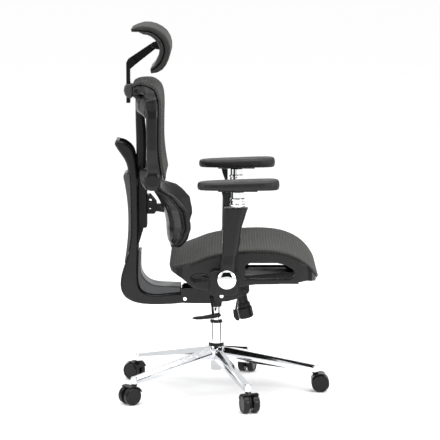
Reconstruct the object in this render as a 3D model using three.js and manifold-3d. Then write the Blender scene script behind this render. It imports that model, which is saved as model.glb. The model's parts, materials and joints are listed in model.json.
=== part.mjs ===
// Swivel office chair with a mesh seat and back, adjustable arms, lumbar support and headrest.
// Millimetres. +Z is up, the sitter faces -Y, and the sitter's right-hand side is -X.
// The swivel axis of the gas column is x = 0, y = 0 inside the chair group; the whole chair is
// then moved by COLUMN_Y so that the middle of its footprint is the origin.
import * as THREE from "three";
import { mergeVertices } from "three/addons/utils/BufferGeometryUtils.js";
import Module from "manifold-3d";

const wasm = await Module();
wasm.setup();

// ---------------------------------------------------------------- driving dimensions
const GAP = 0.3; // clearance between pieces that touch
const SEAM_GAP = 0.8; // between a mesh panel's edge and the rail under it
const RUN = 0.3; // radial clearance of a turning or sliding fit
const COLUMN_Y = 21.5; // the swivel axis stands this far behind the middle of the footprint

// five-legged base and casters
const LEG_COUNT = 5;
const STEM_CIRCLE_R = 317;
const WHEEL_R = 29;
const WHEEL_W = 21;
const WHEEL_CLEAR = 1.2; // between a wheel and the web or hood
const WEB_T = 9; // the caster's middle web, between the wheels
const HOOD_T = 2.4;
const CASTER_TRAIL = 17;
const STEM_R = 5.3;
const CASTER_TOP_Z = 2 * WHEEL_R + WHEEL_CLEAR + HOOD_T;
const STEM_TOP_Z = CASTER_TOP_Z + 17.4;
const AXLE_R = 4;
const LEG_TIP_TOP_Z = CASTER_TOP_Z + 24.4;
const LEG_TIP_H = 22;
const LEG_ROOT_TOP_Z = 151; // where the leg's top line meets the column axis
const LEG_ROOT_H = 41;
const LEG_ROOT_W = 27;
const LEG_TIP_W = 21;
const LEG_CREST_W = 11; // flat crest along the top of a leg
const HUB_TOP_Z = 150;
const HUB_FOOT_Z = 72;
const PISTON_R = 13;
const TUBE_TAPER_R = PISTON_R + 1.8; // the tube's lower end, inside the hub
const HUB_R = TUBE_TAPER_R + 13.2;
const HUB_FOOT_R = TUBE_TAPER_R + 3.7;

// gas column
const TUBE_R = PISTON_R + 9;
const TUBE_TOP_Z = 228;
const COLLAR_R = PISTON_R + 7;
const COLLAR_H = 6;
const HUB_RING_R = TUBE_TAPER_R + 10.2;
const HUB_RING_H = 10;

// tilt mechanism
const BOSS_FOOT_Z = 277; // lower face of the socket that the piston enters
const BOSS_R = PISTON_R + 4;
const SPINE_HALF_W = 52;
const SPINE_WALL = 8;
const HOUSING_HALF_W = SPINE_HALF_W - 5;
const RECLINE_PIVOT = [-17, 320]; // [y, z]
const SEAT_PIVOT = [-90, 336];
const PIN_R = 5;
const SMALL_PIN_R = 4;
const PIN_HEAD_R = 6;
const PIN_HEAD_T = 3;
const BRACKET_T = 4;
const FOOT_BOLT = [99, 311];
const KNOB_R = 24;
const KNOB_H = 50;
const SPRING_TUBE_R = 17;
const LEVER_R = 3.4;
const HEIGHT_LEVER_PIVOT = [14, 312];
const TILT_LEVER_PIVOT = [-76, 322];

// seat
const SEAT_HALF_W = 250;
const SEAT_RAIL_T = 23;
const SEAT_MESH_T = 6;
const SEAT_DIP = 9;
const SEAT_REAR_Y = 147;
const SEAT_CORNER_R = 90; // plan radius of the rear corners
const TRAY_HALF_W = 150;
const TRAY_Z = 374;
const TRAY_T = 8;
const TRAY_FRONT_Y = -258;
const TRAY_REAR_Y = 60;
const TRAY_WALL_T = 6;

// arms
const ARM_X = SEAT_HALF_W + 48; // middle of the arm's sleeve and post
const SLEEVE_HALF_X = 24;
const SLEEVE_TOP_Z = 636;
const POST_LEAN = 0.13; // forward travel per unit of height
const POST_HALF_X = 10;
const POST_HALF_Y = 16;
const POST_FOOT_Z = 500;
const STEM_Y = -66; // middle of the round neck below the pad
const PAD_HALF_W = 47;
const PAD_LENGTH = 252;
const PAD_MID_Y = -68;
const PAD_FOOT_Z = 692;
const PAD_T = 27;
const PAD_PITCH = 0.035; // the pad rises towards the front, in radians
const CAP_R = 29;

// back
const RAIL_HALF_W = SPINE_HALF_W - SPINE_WALL - 13;
const BACK_HALF_W = 214;
const BACK_MESH_T = 9;
const BACK_BOW = 24; // how far the middle of the mesh lies behind its edges
const BACK_RAIL_W = 24; // the width of the side rails, seen from the front
const LUMBAR_HALF_W = 190;

// headrest
const HEADREST_HALF_W = 146;
const POST_BAR = { halfW: 18, y0: 271, y1: 283 };
const HEAD_ARM_PIVOT = [267, 1058];
const HEAD_PAD_PIVOT = [194, 1111];
const HEAD_ARM_HALF_W = 11;

// ---------------------------------------------------------------- shape helpers
const BASIS_SIDE = new THREE.Matrix4().makeBasis(
  new THREE.Vector3(0, 1, 0),
  new THREE.Vector3(0, 0, 1),
  new THREE.Vector3(1, 0, 0),
);

// A solid from a closed geometry: shared corners are merged, slivers dropped, faces turned outwards.
function solidOf(geometry) {
  const bare = geometry.clone();
  bare.deleteAttribute("normal");
  bare.deleteAttribute("uv");
  const merged = mergeVertices(bare, 1e-3);
  const at = merged.attributes.position.array;
  const corners = merged.index.array;
  const kept = [];
  let sixVolumes = 0;
  for (let i = 0; i < corners.length; i += 3) {
    const [a, b, c] = [corners[i], corners[i + 1], corners[i + 2]];
    if (a === b || b === c || c === a) continue;
    kept.push(a, b, c);
    const [pa, pb, pc] = [a, b, c].map((k) => new THREE.Vector3().fromArray(at, 3 * k));
    sixVolumes += pa.dot(pb.cross(pc));
  }
  if (sixVolumes < 0) kept.reverse();
  return new wasm.Manifold(new wasm.Mesh({
    numProp: 3,
    vertProperties: new Float32Array(at),
    triVerts: new Uint32Array(kept),
  }));
}

function geometryOf(solid) {
  const mesh = solid.getMesh();
  const geometry = new THREE.BufferGeometry();
  geometry.setAttribute("position", new THREE.BufferAttribute(new Float32Array(mesh.vertProperties), 3));
  geometry.setIndex(new THREE.BufferAttribute(new Uint32Array(mesh.triVerts), 1));
  geometry.computeVertexNormals();
  return geometry;
}

const union = (...solids) => solids.reduce((sum, next) => sum.add(next));

// A box between two opposite corners.
function block([x0, y0, z0], [x1, y1, z1]) {
  const box = new THREE.BoxGeometry(x1 - x0, y1 - y0, z1 - z0);
  return solidOf(box.translate((x0 + x1) / 2, (y0 + y1) / 2, (z0 + z1) / 2));
}

// A round bar between two points; endR makes it a cone.
function bar(from, to, r, sides = 16, endR = r) {
  const start = new THREE.Vector3(...from);
  const run = new THREE.Vector3(...to).sub(start);
  const cylinder = new THREE.CylinderGeometry(endR, r, run.length(), sides);
  const turn = new THREE.Quaternion().setFromUnitVectors(
    new THREE.Vector3(0, 1, 0),
    run.clone().normalize(),
  );
  cylinder.applyQuaternion(turn);
  const middle = start.addScaledVector(run, 0.5);
  return solidOf(cylinder.translate(middle.x, middle.y, middle.z));
}

// A bar along X, centred on [y, z].
const crossBar = ([y, z], x0, x1, r, sides = 16) => bar([x0, y, z], [x1, y, z], r, sides);

// A turned piece: a profile of [radius, height] pairs swept round the Z axis.
function turned(profile, sides = 24) {
  const points = profile.map(([r, z]) => new THREE.Vector2(r, z));
  return solidOf(new THREE.LatheGeometry(points, sides).rotateX(Math.PI / 2));
}

// A plate cut to an outline of [y, z] points, from x0 to x1, with softened edges.
function sidePlate(outline, x0, x1, edge = 0) {
  const shape = new THREE.Shape(outline.map(([y, z]) => new THREE.Vector2(y, z)));
  const plate = new THREE.ExtrudeGeometry(shape, {
    depth: x1 - x0 - 2 * edge,
    bevelEnabled: edge > 0,
    bevelThickness: edge,
    bevelSize: edge,
    bevelOffset: -edge,
    bevelSegments: 1,
  });
  return solidOf(plate.translate(0, 0, x0 + edge).applyMatrix4(BASIS_SIDE));
}

// A smooth line of [y, z] points through the given ones.
function smooth(points, steps) {
  const knots = points.map(([y, z]) => new THREE.Vector3(y, z, 0));
  const line = new THREE.CatmullRomCurve3(knots, false, "centripetal");
  return line.getPoints(steps).map((p) => [p.x, p.y]);
}

// The same line, in steps of equal length.
function spaced(points, steps) {
  const knots = points.map(([y, z]) => new THREE.Vector3(y, z, 0));
  const line = new THREE.CatmullRomCurve3(knots, false, "centripetal");
  return line.getSpacedPoints(steps).map((p) => [p.x, p.y]);
}

// A smooth function of one value through [value, result] pairs.
function through(pairs) {
  return (value) => {
    let i = 1;
    while (i < pairs.length - 1 && value > pairs[i][0]) i += 1;
    const [x0, y0] = pairs[i - 1];
    const [x1, y1] = pairs[i];
    const t = THREE.MathUtils.clamp((value - x0) / (x1 - x0), 0, 1);
    return y0 + (y1 - y0) * THREE.MathUtils.smoothstep(t, 0, 1);
  };
}

// A closed body through rings of points, with a fan over each end. Each patch is split along the
// same diagonal on both faces of a shell, so two shells that lie on each other stay parallel.
function loft(rings) {
  const count = rings[0].length;
  const positions = rings.flat().flatMap((p) => [p.x, p.y, p.z]);
  const faces = [];
  for (let r = 0; r < rings.length - 1; r += 1) {
    for (let k = 0; k < count; k += 1) {
      const a = r * count + k;
      const b = r * count + ((k + 1) % count);
      const widening = rings[r][(k + 1) % count].x > rings[r][k].x;
      if (widening) faces.push(a, b, a + count, b, b + count, a + count);
      else faces.push(a, b, b + count, a, b + count, a + count);
    }
  }
  for (const [ring, first, turn] of [[rings[0], 0, 1], [rings.at(-1), (rings.length - 1) * count, 0]]) {
    const middle = ring.reduce((sum, p) => sum.add(p), new THREE.Vector3()).divideScalar(count);
    const hub = positions.length / 3;
    positions.push(middle.x, middle.y, middle.z);
    for (let k = 0; k < count; k += 1) {
      const a = first + k;
      const b = first + ((k + 1) % count);
      faces.push(hub, turn ? b : a, turn ? a : b);
    }
  }
  const geometry = new THREE.BufferGeometry();
  geometry.setAttribute("position", new THREE.Float32BufferAttribute(positions, 3));
  geometry.setIndex(faces);
  return solidOf(geometry);
}

// Points round a rounded rectangle whose half-sizes are 1: squareness 2 is an oval, more is squarer.
function ovalPoints(sides, squareness) {
  const power = 2 / squareness;
  return Array.from({ length: sides }, (_, k) => {
    const angle = (2 * Math.PI * (k + 0.5)) / sides;
    const [c, s] = [Math.cos(angle), Math.sin(angle)];
    return [Math.sign(c) * Math.abs(c) ** power, Math.sign(s) * Math.abs(s) ** power];
  });
}

// Points round a flat band whose half-sizes are 1: even steps across both faces between the
// shares -reach and reach of the half-width, and round ends that take up the share `edge` of it.
function bandPoints(across, edge, arcSteps, reach = 1 - edge) {
  const quarter = Array.from({ length: arcSteps + 1 }, (_, k) => {
    const angle = (Math.PI / 2) * (k / arcSteps);
    return [1 - edge + edge * Math.cos(angle), Math.sin(angle)];
  });
  const inside = reach < 1 - edge ? [0, across] : [1, across - 1];
  const face = Array.from({ length: inside[1] - inside[0] + 1 }, (_, k) => [
    reach * (1 - (2 * (k + inside[0])) / across), 1,
  ]);
  const left = quarter.map(([a, b]) => [-a, b]).reverse();
  const upper = [...quarter, ...face, ...left];
  const lower = upper.slice(1, -1).map(([a, b]) => [a, -b]).reverse();
  return [...upper, ...lower];
}

// A shell or pad that spans the chair from side to side and follows a side-view line.
// At each station a flat band stands square to the line, from depth back(s) to depth front(s), and
// shift(x, s) moves each point by [dy, dz]. Positive depth is on the line's left-hand side.
function acrossLine({
  line, stations, halfWidth, back, front, across = 8, edge = 0.03, arcSteps = 2, reach, shift,
}) {
  const knots = line.map(([y, z]) => new THREE.Vector3(0, y, z));
  const curve = new THREE.CatmullRomCurve3(knots, false, "centripetal");
  const band = bandPoints(across, edge, arcSteps, reach);
  const rings = [];
  for (let i = 0; i <= stations; i += 1) {
    const s = i / stations;
    const at = curve.getPointAt(s);
    const along = curve.getTangentAt(s);
    const normal = new THREE.Vector3(0, -along.z, along.y);
    rings.push(band.map(([a, b]) => {
      const x = a * halfWidth(s);
      const depth = THREE.MathUtils.lerp(back(s), front(s), (b + 1) / 2);
      const [dy, dz] = shift ? shift(x, s) : [0, 0];
      return new THREE.Vector3(x, at.y + normal.y * depth + dy, at.z + normal.z * depth + dz);
    }));
  }
  return loft(rings);
}

// A panel sags only between its side rails, inside this share of its half-width: 1 in the middle
// of the panel, falling to 0 there.
const SAG_SHARE = 0.84;
const betweenRails = (x, halfWidth) => Math.max(0, 1 - (x / (SAG_SHARE * halfWidth)) ** 2);

const mirrored = (solid) => solid.mirror([1, 0, 0]);
const bothSides = (solid) => solid.add(mirrored(solid));

// ---------------------------------------------------------------- finishes
const finishes = {
  polished: { color: 0xe2e4e6, roughness: 0.12, metalness: 1.0 },
  chrome: { color: 0xeceef0, roughness: 0.06, metalness: 1.0 },
  blackPlastic: { color: 0x1b1b1c, roughness: 0.45, metalness: 0.0 },
  charcoal: { color: 0x2b2b2d, roughness: 0.42, metalness: 0.0 },
  greyPlastic: { color: 0x4a4b4d, roughness: 0.38, metalness: 0.0 },
  blackSteel: { color: 0x161617, roughness: 0.35, metalness: 0.6 },
  tyre: { color: 0x191919, roughness: 0.55, metalness: 0.0 },
  mesh: { color: 0x35352f, roughness: 0.85, metalness: 0.0 },
  leather: { color: 0x262627, roughness: 0.5, metalness: 0.0 },
  urethane: { color: 0x222223, roughness: 0.48, metalness: 0.0 },
};

function piece(name, solid, finish) {
  const mesh = new THREE.Mesh(geometryOf(solid), new THREE.MeshStandardMaterial(finishes[finish]));
  mesh.name = name;
  return mesh;
}

const chair = new THREE.Group();
chair.position.set(0, COLUMN_Y, 0);

// ---------------------------------------------------------------- base
const legTopZ = (r) => THREE.MathUtils.lerp(LEG_ROOT_TOP_Z, LEG_TIP_TOP_Z, r / STEM_CIRCLE_R);
const legHeight = (r) => THREE.MathUtils.lerp(LEG_ROOT_H, LEG_TIP_H, r / STEM_CIRCLE_R);
const legWidth = (r) => THREE.MathUtils.lerp(LEG_ROOT_W, LEG_TIP_W, r / STEM_CIRCLE_R);
const socketFootZ = legTopZ(STEM_CIRCLE_R) - LEG_TIP_H;
const SOCKET_R = 11;

// One leg points to the front: a tall blade with sloping cheeks and a narrow flat crest.
function leg() {
  const section = (r) => {
    const [w, top, h] = [legWidth(r) / 2, legTopZ(r), legHeight(r)];
    const crest = LEG_CREST_W / 2;
    return [[w, top - h], [w, top - h * 0.45], [crest, top], [-crest, top], [-w, top - h * 0.45], [-w, top - h]]
      .map(([x, z]) => new THREE.Vector3(x, -r, z));
  };
  const blade = loft([section(HUB_FOOT_R), section(STEM_CIRCLE_R)]);
  const tip = turned([[0, socketFootZ], [SOCKET_R, socketFootZ], [SOCKET_R, legTopZ(STEM_CIRCLE_R) - 3],
    [SOCKET_R - 3, legTopZ(STEM_CIRCLE_R)], [0, legTopZ(STEM_CIRCLE_R)]], 14);
  return blade.add(tip.translate([0, -STEM_CIRCLE_R, 0]));
}

function baseStar() {
  let star = turned([[0, HUB_FOOT_Z], [HUB_FOOT_R - 2, HUB_FOOT_Z], [HUB_FOOT_R, HUB_FOOT_Z + 3],
    [HUB_FOOT_R + 1, HUB_FOOT_Z + 30], [HUB_R - 2, HUB_FOOT_Z + 42], [HUB_R, HUB_FOOT_Z + 50],
    [HUB_R, HUB_TOP_Z - 6], [HUB_RING_R, HUB_TOP_Z], [0, HUB_TOP_Z]], 30);
  for (let k = 0; k < LEG_COUNT; k += 1) star = star.add(leg().rotate([0, 0, (360 / LEG_COUNT) * k]));
  const bore = bar([0, 0, HUB_FOOT_Z - 1], [0, 0, HUB_TOP_Z + 1], TUBE_TAPER_R + GAP, 24);
  star = star.subtract(bore);
  for (let k = 0; k < LEG_COUNT; k += 1) {
    const stemBore = bar([0, -STEM_CIRCLE_R, 0], [0, -STEM_CIRCLE_R, STEM_TOP_Z + 1], STEM_R + RUN, 12);
    star = star.subtract(stemBore.rotate([0, 0, (360 / LEG_COUNT) * k]));
  }
  return star;
}
chair.add(piece("base_star", baseStar(), "polished"));

// ---------------------------------------------------------------- casters
const wheelInnerX = WEB_T / 2 + WHEEL_CLEAR;
const wheelOuterX = wheelInnerX + WHEEL_W;
const BOSS_TOP_Z = socketFootZ - GAP;
const AXLE_REACH = wheelInnerX + 12;
const WHEEL_SIDES = 20;

// The stem stands at the origin and the axle trails it towards -Y.
function casterFork() {
  const hoodR = WHEEL_R + WHEEL_CLEAR;
  const arc = (r, from, to, steps) => Array.from({ length: steps + 1 }, (_, k) => {
    const angle = THREE.MathUtils.degToRad(THREE.MathUtils.lerp(from, to, k / steps));
    return [-CASTER_TRAIL + r * Math.cos(angle), WHEEL_R + r * Math.sin(angle)];
  });
  const hoodOutline = [...arc(hoodR, 22, 118, 6), ...arc(hoodR + HOOD_T, 118, 22, 6)];
  const hood = sidePlate(hoodOutline, -wheelOuterX + 1, wheelOuterX - 1);
  const hoodTopZ = WHEEL_R + hoodR + HOOD_T;
  const stemFootZ = WHEEL_R + 17;
  const web = sidePlate([...arc(WHEEL_R * 0.5, 150, 340, 6), [5, WHEEL_R + 8], [8, stemFootZ], [6, hoodTopZ - 3],
    [-CASTER_TRAIL, hoodTopZ - 1]], -WEB_T / 2, WEB_T / 2);
  const boss = bar([0, 0, hoodTopZ - 3], [0, 0, BOSS_TOP_Z], 9.5, 16);
  const stem = bar([0, 0, stemFootZ], [0, 0, STEM_TOP_Z], STEM_R, 12);
  const axle = crossBar([-CASTER_TRAIL, WHEEL_R], -AXLE_REACH, AXLE_REACH, AXLE_R, 10);
  return union(web, boss, hood, stem, axle);
}

// A wheel turned about its axle: rounded tread, a dished outer face and a blind axle bore.
function casterWheel(side) {
  const w = WHEEL_W;
  const rim = WHEEL_R;
  const profile = [[0, 0], [rim - 3, 0], [rim, 3], [rim, w - 5], [rim - 4, w], [rim - 7, w - 2.5], [0, w - 2.5]];
  const bore = bar([0, 0, -1], [0, 0, AXLE_REACH - wheelInnerX + 1], AXLE_R + RUN, 10);
  return turned(profile, WHEEL_SIDES).subtract(bore)
    .translate([0, 0, wheelInnerX])
    .rotate([0, side * 90, 0])
    .translate([0, -CASTER_TRAIL, WHEEL_R]);
}

for (let k = 0; k < LEG_COUNT; k += 1) {
  const turn = (2 * Math.PI * k) / LEG_COUNT;
  const caster = new THREE.Group();
  caster.position.set(Math.sin(turn) * STEM_CIRCLE_R, -Math.cos(turn) * STEM_CIRCLE_R, 0);
  caster.rotation.z = turn;
  caster.add(piece(`caster_fork_${k + 1}`, casterFork(), "blackPlastic"));
  caster.add(piece(`caster_wheel_left_${k + 1}`, casterWheel(1), "tyre"));
  caster.add(piece(`caster_wheel_right_${k + 1}`, casterWheel(-1), "tyre"));
  chair.add(caster);
}

// ---------------------------------------------------------------- gas column
const tubeFootZ = HUB_FOOT_Z + 2;
const ringTopZ = HUB_TOP_Z + GAP + HUB_RING_H;
const pistonBore = bar([0, 0, 0], [0, 0, TUBE_TOP_Z + 20], PISTON_R + RUN, 24);
const tube = turned([[0, tubeFootZ], [TUBE_TAPER_R, tubeFootZ], [TUBE_TAPER_R, ringTopZ + GAP],
  [TUBE_R, ringTopZ + GAP], [TUBE_R, TUBE_TOP_Z - 2], [TUBE_R - 2, TUBE_TOP_Z], [0, TUBE_TOP_Z]]);
const hubRing = turned([[TUBE_TAPER_R + GAP, HUB_TOP_Z + GAP], [HUB_RING_R, HUB_TOP_Z + GAP],
  [HUB_RING_R, ringTopZ - 2], [HUB_RING_R - 2, ringTopZ], [TUBE_TAPER_R + GAP, ringTopZ],
  [TUBE_TAPER_R + GAP, HUB_TOP_Z + GAP]]);
const collarFoot = TUBE_TOP_Z + GAP;
const collarTop = collarFoot + COLLAR_H;
const tubeCollar = turned([[PISTON_R + RUN, collarFoot], [COLLAR_R, collarFoot], [COLLAR_R, collarTop - 1.5],
  [COLLAR_R - 1.5, collarTop], [PISTON_R + RUN, collarTop], [PISTON_R + RUN, collarFoot]]);
const PISTON_FOOT_Z = 118;
const pistonTopZ = BOSS_FOOT_Z + 22;
chair.add(piece("cylinder_tube", tube.subtract(pistonBore), "chrome"));
chair.add(piece("hub_ring", hubRing, "blackPlastic"));
chair.add(piece("tube_collar", tubeCollar, "blackPlastic"));
chair.add(piece("gas_piston", bar([0, 0, PISTON_FOOT_Z], [0, 0, pistonTopZ], PISTON_R, 24), "chrome"));

// ---------------------------------------------------------------- tilt mechanism
const plateInnerX = SPINE_HALF_W + GAP;
const plateOuterX = plateInnerX + BRACKET_T;
const housingOutline = [[-105, 346], [-106, 334], [-99, 326], [-62, 307], [-34, 300], [30, 300],
  [42, 308], [42, 328], [20, 336], [-40, 343], [-70, 346]];

function mechanismHousing() {
  const body = sidePlate(housingOutline, -HOUSING_HALF_W, HOUSING_HALF_W, 2);
  const boss = bar([0, 0, BOSS_FOOT_Z], [0, 0, 306], BOSS_R, 28, BOSS_R + 4);
  const socket = bar([0, 0, BOSS_FOOT_Z - 1], [0, 0, pistonTopZ + GAP], PISTON_R + RUN, 24);
  const reach = HOUSING_HALF_W + 5;
  return union(body, boss)
    .subtract(socket)
    .subtract(crossBar(RECLINE_PIVOT, -reach, reach, PIN_R + RUN))
    .subtract(crossBar(SEAT_PIVOT, -reach, reach, SMALL_PIN_R + RUN));
}

// A pin along X with a round head at each end, just outside the pieces that it joins.
function headedPin(centre, gripHalf, r) {
  const inner = gripHalf + GAP;
  return union(
    crossBar(centre, -inner - 1, inner + 1, r),
    bothSides(crossBar(centre, inner, inner + PIN_HEAD_T, PIN_HEAD_R, 20)),
  );
}

// Two cheek plates, one on each side of the housing and of the spine's foot, with a web between.
const leverSlotR = SMALL_PIN_R + 2;
function backBracket() {
  const outline = [[-58, 313], [-51, 329], [20, 340], [60, 344], [104, 343], [111, 336], [111, 304], [103, 297],
    [62, 296], [10, 296], [-17, 301], [-40, 304]];
  const cheek = sidePlate(outline, plateInnerX, plateOuterX);
  const slot = union(...[0, 0.5, 1].map((part) => {
    const turn = THREE.MathUtils.degToRad(20 * part);
    const [dy, dz] = [HEIGHT_LEVER_PIVOT[0] - RECLINE_PIVOT[0], HEIGHT_LEVER_PIVOT[1] - RECLINE_PIVOT[1]];
    const place = [RECLINE_PIVOT[0] + dy * Math.cos(turn) - dz * Math.sin(turn),
      RECLINE_PIVOT[1] + dy * Math.sin(turn) + dz * Math.cos(turn)];
    return crossBar(place, plateInnerX - 5, plateOuterX + 5, leverSlotR);
  }));
  const web = block([-plateOuterX + 1, 60, 300], [plateOuterX - 1, 66, 343]);
  const reach = plateOuterX + 5;
  return union(bothSides(cheek.subtract(slot)), web)
    .subtract(crossBar(RECLINE_PIVOT, -reach, reach, PIN_R + RUN))
    .subtract(crossBar(FOOT_BOLT, -reach, reach, SMALL_PIN_R + RUN));
}

// The tension spring's tube hangs from the housing's nose and leans forward.
const KNOB_LEAN = THREE.MathUtils.degToRad(13);
const tensionAxis = [0, -Math.sin(KNOB_LEAN), -Math.cos(KNOB_LEAN)];
const TENSION_TOP = [0, -79, 320];
const alongTension = (t) => TENSION_TOP.map((v, i) => v + tensionAxis[i] * t);
const KNOB_START = 32;
const housing = mechanismHousing();

function tensionTube() {
  const barrel = bar(alongTension(-20), alongTension(KNOB_START + 20), SPRING_TUBE_R, 20);
  const seatPinRoom = crossBar(SEAT_PIVOT, -60, 60, SMALL_PIN_R + 2);
  const above = block([-60, -140, 330], [60, 0, 380]);
  const envelope = sidePlate(housingOutline, -HOUSING_HALF_W - 5, HOUSING_HALF_W + 5);
  return barrel.subtract(envelope.translate([0, 0, -2 * GAP])).subtract(above).subtract(seatPinRoom);
}

function tensionKnob() {
  const h = KNOB_H;
  const skirt = turned([[0, 0], [KNOB_R - 4, 0], [KNOB_R, 4], [KNOB_R, h - 16], [KNOB_R - 2.5, h - 14],
    [KNOB_R - 3.5, h], [0, h]], 24);
  const bore = bar([0, 0, 18], [0, 0, h + 5], SPRING_TUBE_R + RUN, 20);
  const knob = skirt.subtract(bore);
  // The knob's closed face points down the tension axis.
  return knob.rotate([-THREE.MathUtils.radToDeg(KNOB_LEAN), 0, 0]).translate(alongTension(KNOB_START + h));
}

// The seat-height lever: a short shaft beside the housing, a drop rod and a flat paddle.
function heightLever() {
  const [y, z] = HEIGHT_LEVER_PIVOT;
  const outX = -plateOuterX - 9;
  const shaft = crossBar([y, z], outX - LEVER_R, -HOUSING_HALF_W - GAP, SMALL_PIN_R);
  const drop = bar([outX, y, z], [outX - 12, y - 3, 262], LEVER_R, 12);
  const paddle = sidePlate([...smooth([[-16, 262], [-10, 257], [30, 251], [60, 249], [76, 252]], 8),
    ...smooth([[72, 256], [40, 260], [15, 265], [-10, 270]], 6)], -9, 9, 1);
  return union(shaft, drop, paddle.translate([outX - 14, 0, 0]));
}

// The tilt-lock lever on the other side: a shaft, a bent rod and a small paddle.
function tiltLever() {
  const [y, z] = TILT_LEVER_PIVOT;
  const shaft = crossBar([y, z], HOUSING_HALF_W + GAP, 86, SMALL_PIN_R);
  const rod = bar([84, y, z], [98, y + 14, 240], LEVER_R, 12);
  const paddleOutline = [[-54, 248], [-56, 226], [-64, 214], [-74, 212], [-76, 222], [-69, 248]];
  const paddle = sidePlate(paddleOutline, 91, 105, 1.5);
  return union(shaft, rod, paddle);
}

chair.add(piece("mechanism_housing", housing, "blackSteel"));
chair.add(piece("recline_pivot_pin", headedPin(RECLINE_PIVOT, plateOuterX, PIN_R), "chrome"));
chair.add(piece("back_bracket", backBracket(), "blackSteel"));
chair.add(piece("tension_tube", tensionTube(), "blackPlastic"));
chair.add(piece("tension_knob", tensionKnob(), "blackPlastic"));
chair.add(piece("height_lever", heightLever(), "blackPlastic"));
chair.add(piece("tilt_lever", tiltLever(), "blackPlastic"));

// ---------------------------------------------------------------- seat
// The seam where the mesh meets the side rail, from the rear to the front.
const SEAT_SEAM = [[146, 440], [135, 436], [111, 441], [70, 454], [20, 472], [-58, 486], [-120, 490],
  [-166, 489], [-212, 482], [-252, 466], [-282, 444], [-303, 419], [-314, 400]];
const SEAT_BELLY_Z = 373; // the lowest part of the cheeks, beside the arms
const SEAT_UNDERSIDE = [[-309, 394], [-296, 397], [-280, 400], [-264, 397], [-240, 392], [-190, 390],
  [-130, 389], [-90, 386], [-60, 378], [-20, SEAT_BELLY_Z], [34, SEAT_BELLY_Z], [66, 377], [86, 390],
  [98, 400], [112, 409], [128, 417], [140, 424]];
const SIDE_OPENING = [[-88, 404], [-222, 405], [-238, 411], [-245, 422], [-236, 437], [-213, 450],
  [-182, 457], [-142, 459], [-106, 456], [-90, 449]];
const REAR_POCKET = [[24, 407], [38, 400], [64, 398], [80, 406], [78, 415], [62, 424], [38, 426], [24, 420]];
const REAR_POCKET_DEPTH = 10;
// The front corner from above: [distance in from the side, y].
const SEAT_FRONT_CORNER = [[0, -262], [3, -280], [13, -295], [34, -306], [70, -313], [105, -318],
  [SEAT_HALF_W, -334]];
const SEAT_STATIONS = 18;

// The seat's outline from above, moved inwards by `inset`, as a tall prism.
function seatPlan(inset) {
  const r = SEAT_CORNER_R;
  const [cx, cy] = [SEAT_HALF_W - r, SEAT_REAR_Y - r];
  const corner = Array.from({ length: 7 }, (_, k) => {
    const angle = (Math.PI / 2) * (1 - k / 6);
    return [cx + (r - inset) * Math.cos(angle), cy + (r - inset) * Math.sin(angle)];
  });
  const front = SEAT_FRONT_CORNER.map(([side, y]) => [Math.max(0, SEAT_HALF_W - side - inset), y + inset]);
  const right = [...corner, ...front];
  const left = right.slice(0, -1).map(([x, y]) => [-x, y]).reverse();
  const shape = new THREE.Shape([...right, ...left].map(([x, y]) => new THREE.Vector2(x, y)));
  return solidOf(new THREE.ExtrudeGeometry(shape, { depth: 300, bevelEnabled: false }).translate(0, 0, 300));
}

// A rim all round, with high cheeks at the sides, and two bars across it that rest on the tray.
function seatFrame() {
  const seam = spaced(SEAT_SEAM, SEAT_STATIONS);
  const rim = sidePlate([...seam, ...SEAT_UNDERSIDE], -SEAT_HALF_W, SEAT_HALF_W)
    .intersect(seatPlan(0).subtract(seatPlan(SEAT_RAIL_T)));
  const windowInner = SEAT_HALF_W - SEAT_RAIL_T - 20;
  const openings = union(
    sidePlate(SIDE_OPENING, windowInner, SEAT_HALF_W + 10),
    sidePlate(REAR_POCKET, SEAT_HALF_W - REAR_POCKET_DEPTH, SEAT_HALF_W + 10),
  );
  const [barFoot, barTop, reach] = [TRAY_Z + TRAY_T + 14, TRAY_Z + TRAY_T + 27, SEAT_HALF_W - 5];
  const crossBars = union(
    block([-reach, -62, barFoot], [reach, -36, barTop]),
    block([-reach, 14, barFoot], [reach, 40, barTop]),
  );
  return union(rim.subtract(bothSides(openings)), crossBars);
}

// The mesh follows the seam from side to side and dips towards its middle, inside the rim.
const RIM_SHARE = 0.085; // of the seam's length, at each end
const insideRim = (s) => Math.sin(Math.PI * THREE.MathUtils.clamp((s - RIM_SHARE) / (1 - 2 * RIM_SHARE), 0, 1));
const seatMesh = acrossLine({
  line: SEAT_SEAM,
  stations: SEAT_STATIONS,
  halfWidth: () => SEAT_HALF_W - 1,
  back: () => -SEAT_MESH_T - SEAM_GAP,
  front: () => -SEAM_GAP,
  across: 6,
  edge: 0.015,
  arcSteps: 1,
  reach: SAG_SHARE,
  shift: (x, s) => [0, -SEAT_DIP * insideRim(s) * betweenRails(x, SEAT_HALF_W - 1)],
}).intersect(seatPlan(1));

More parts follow.
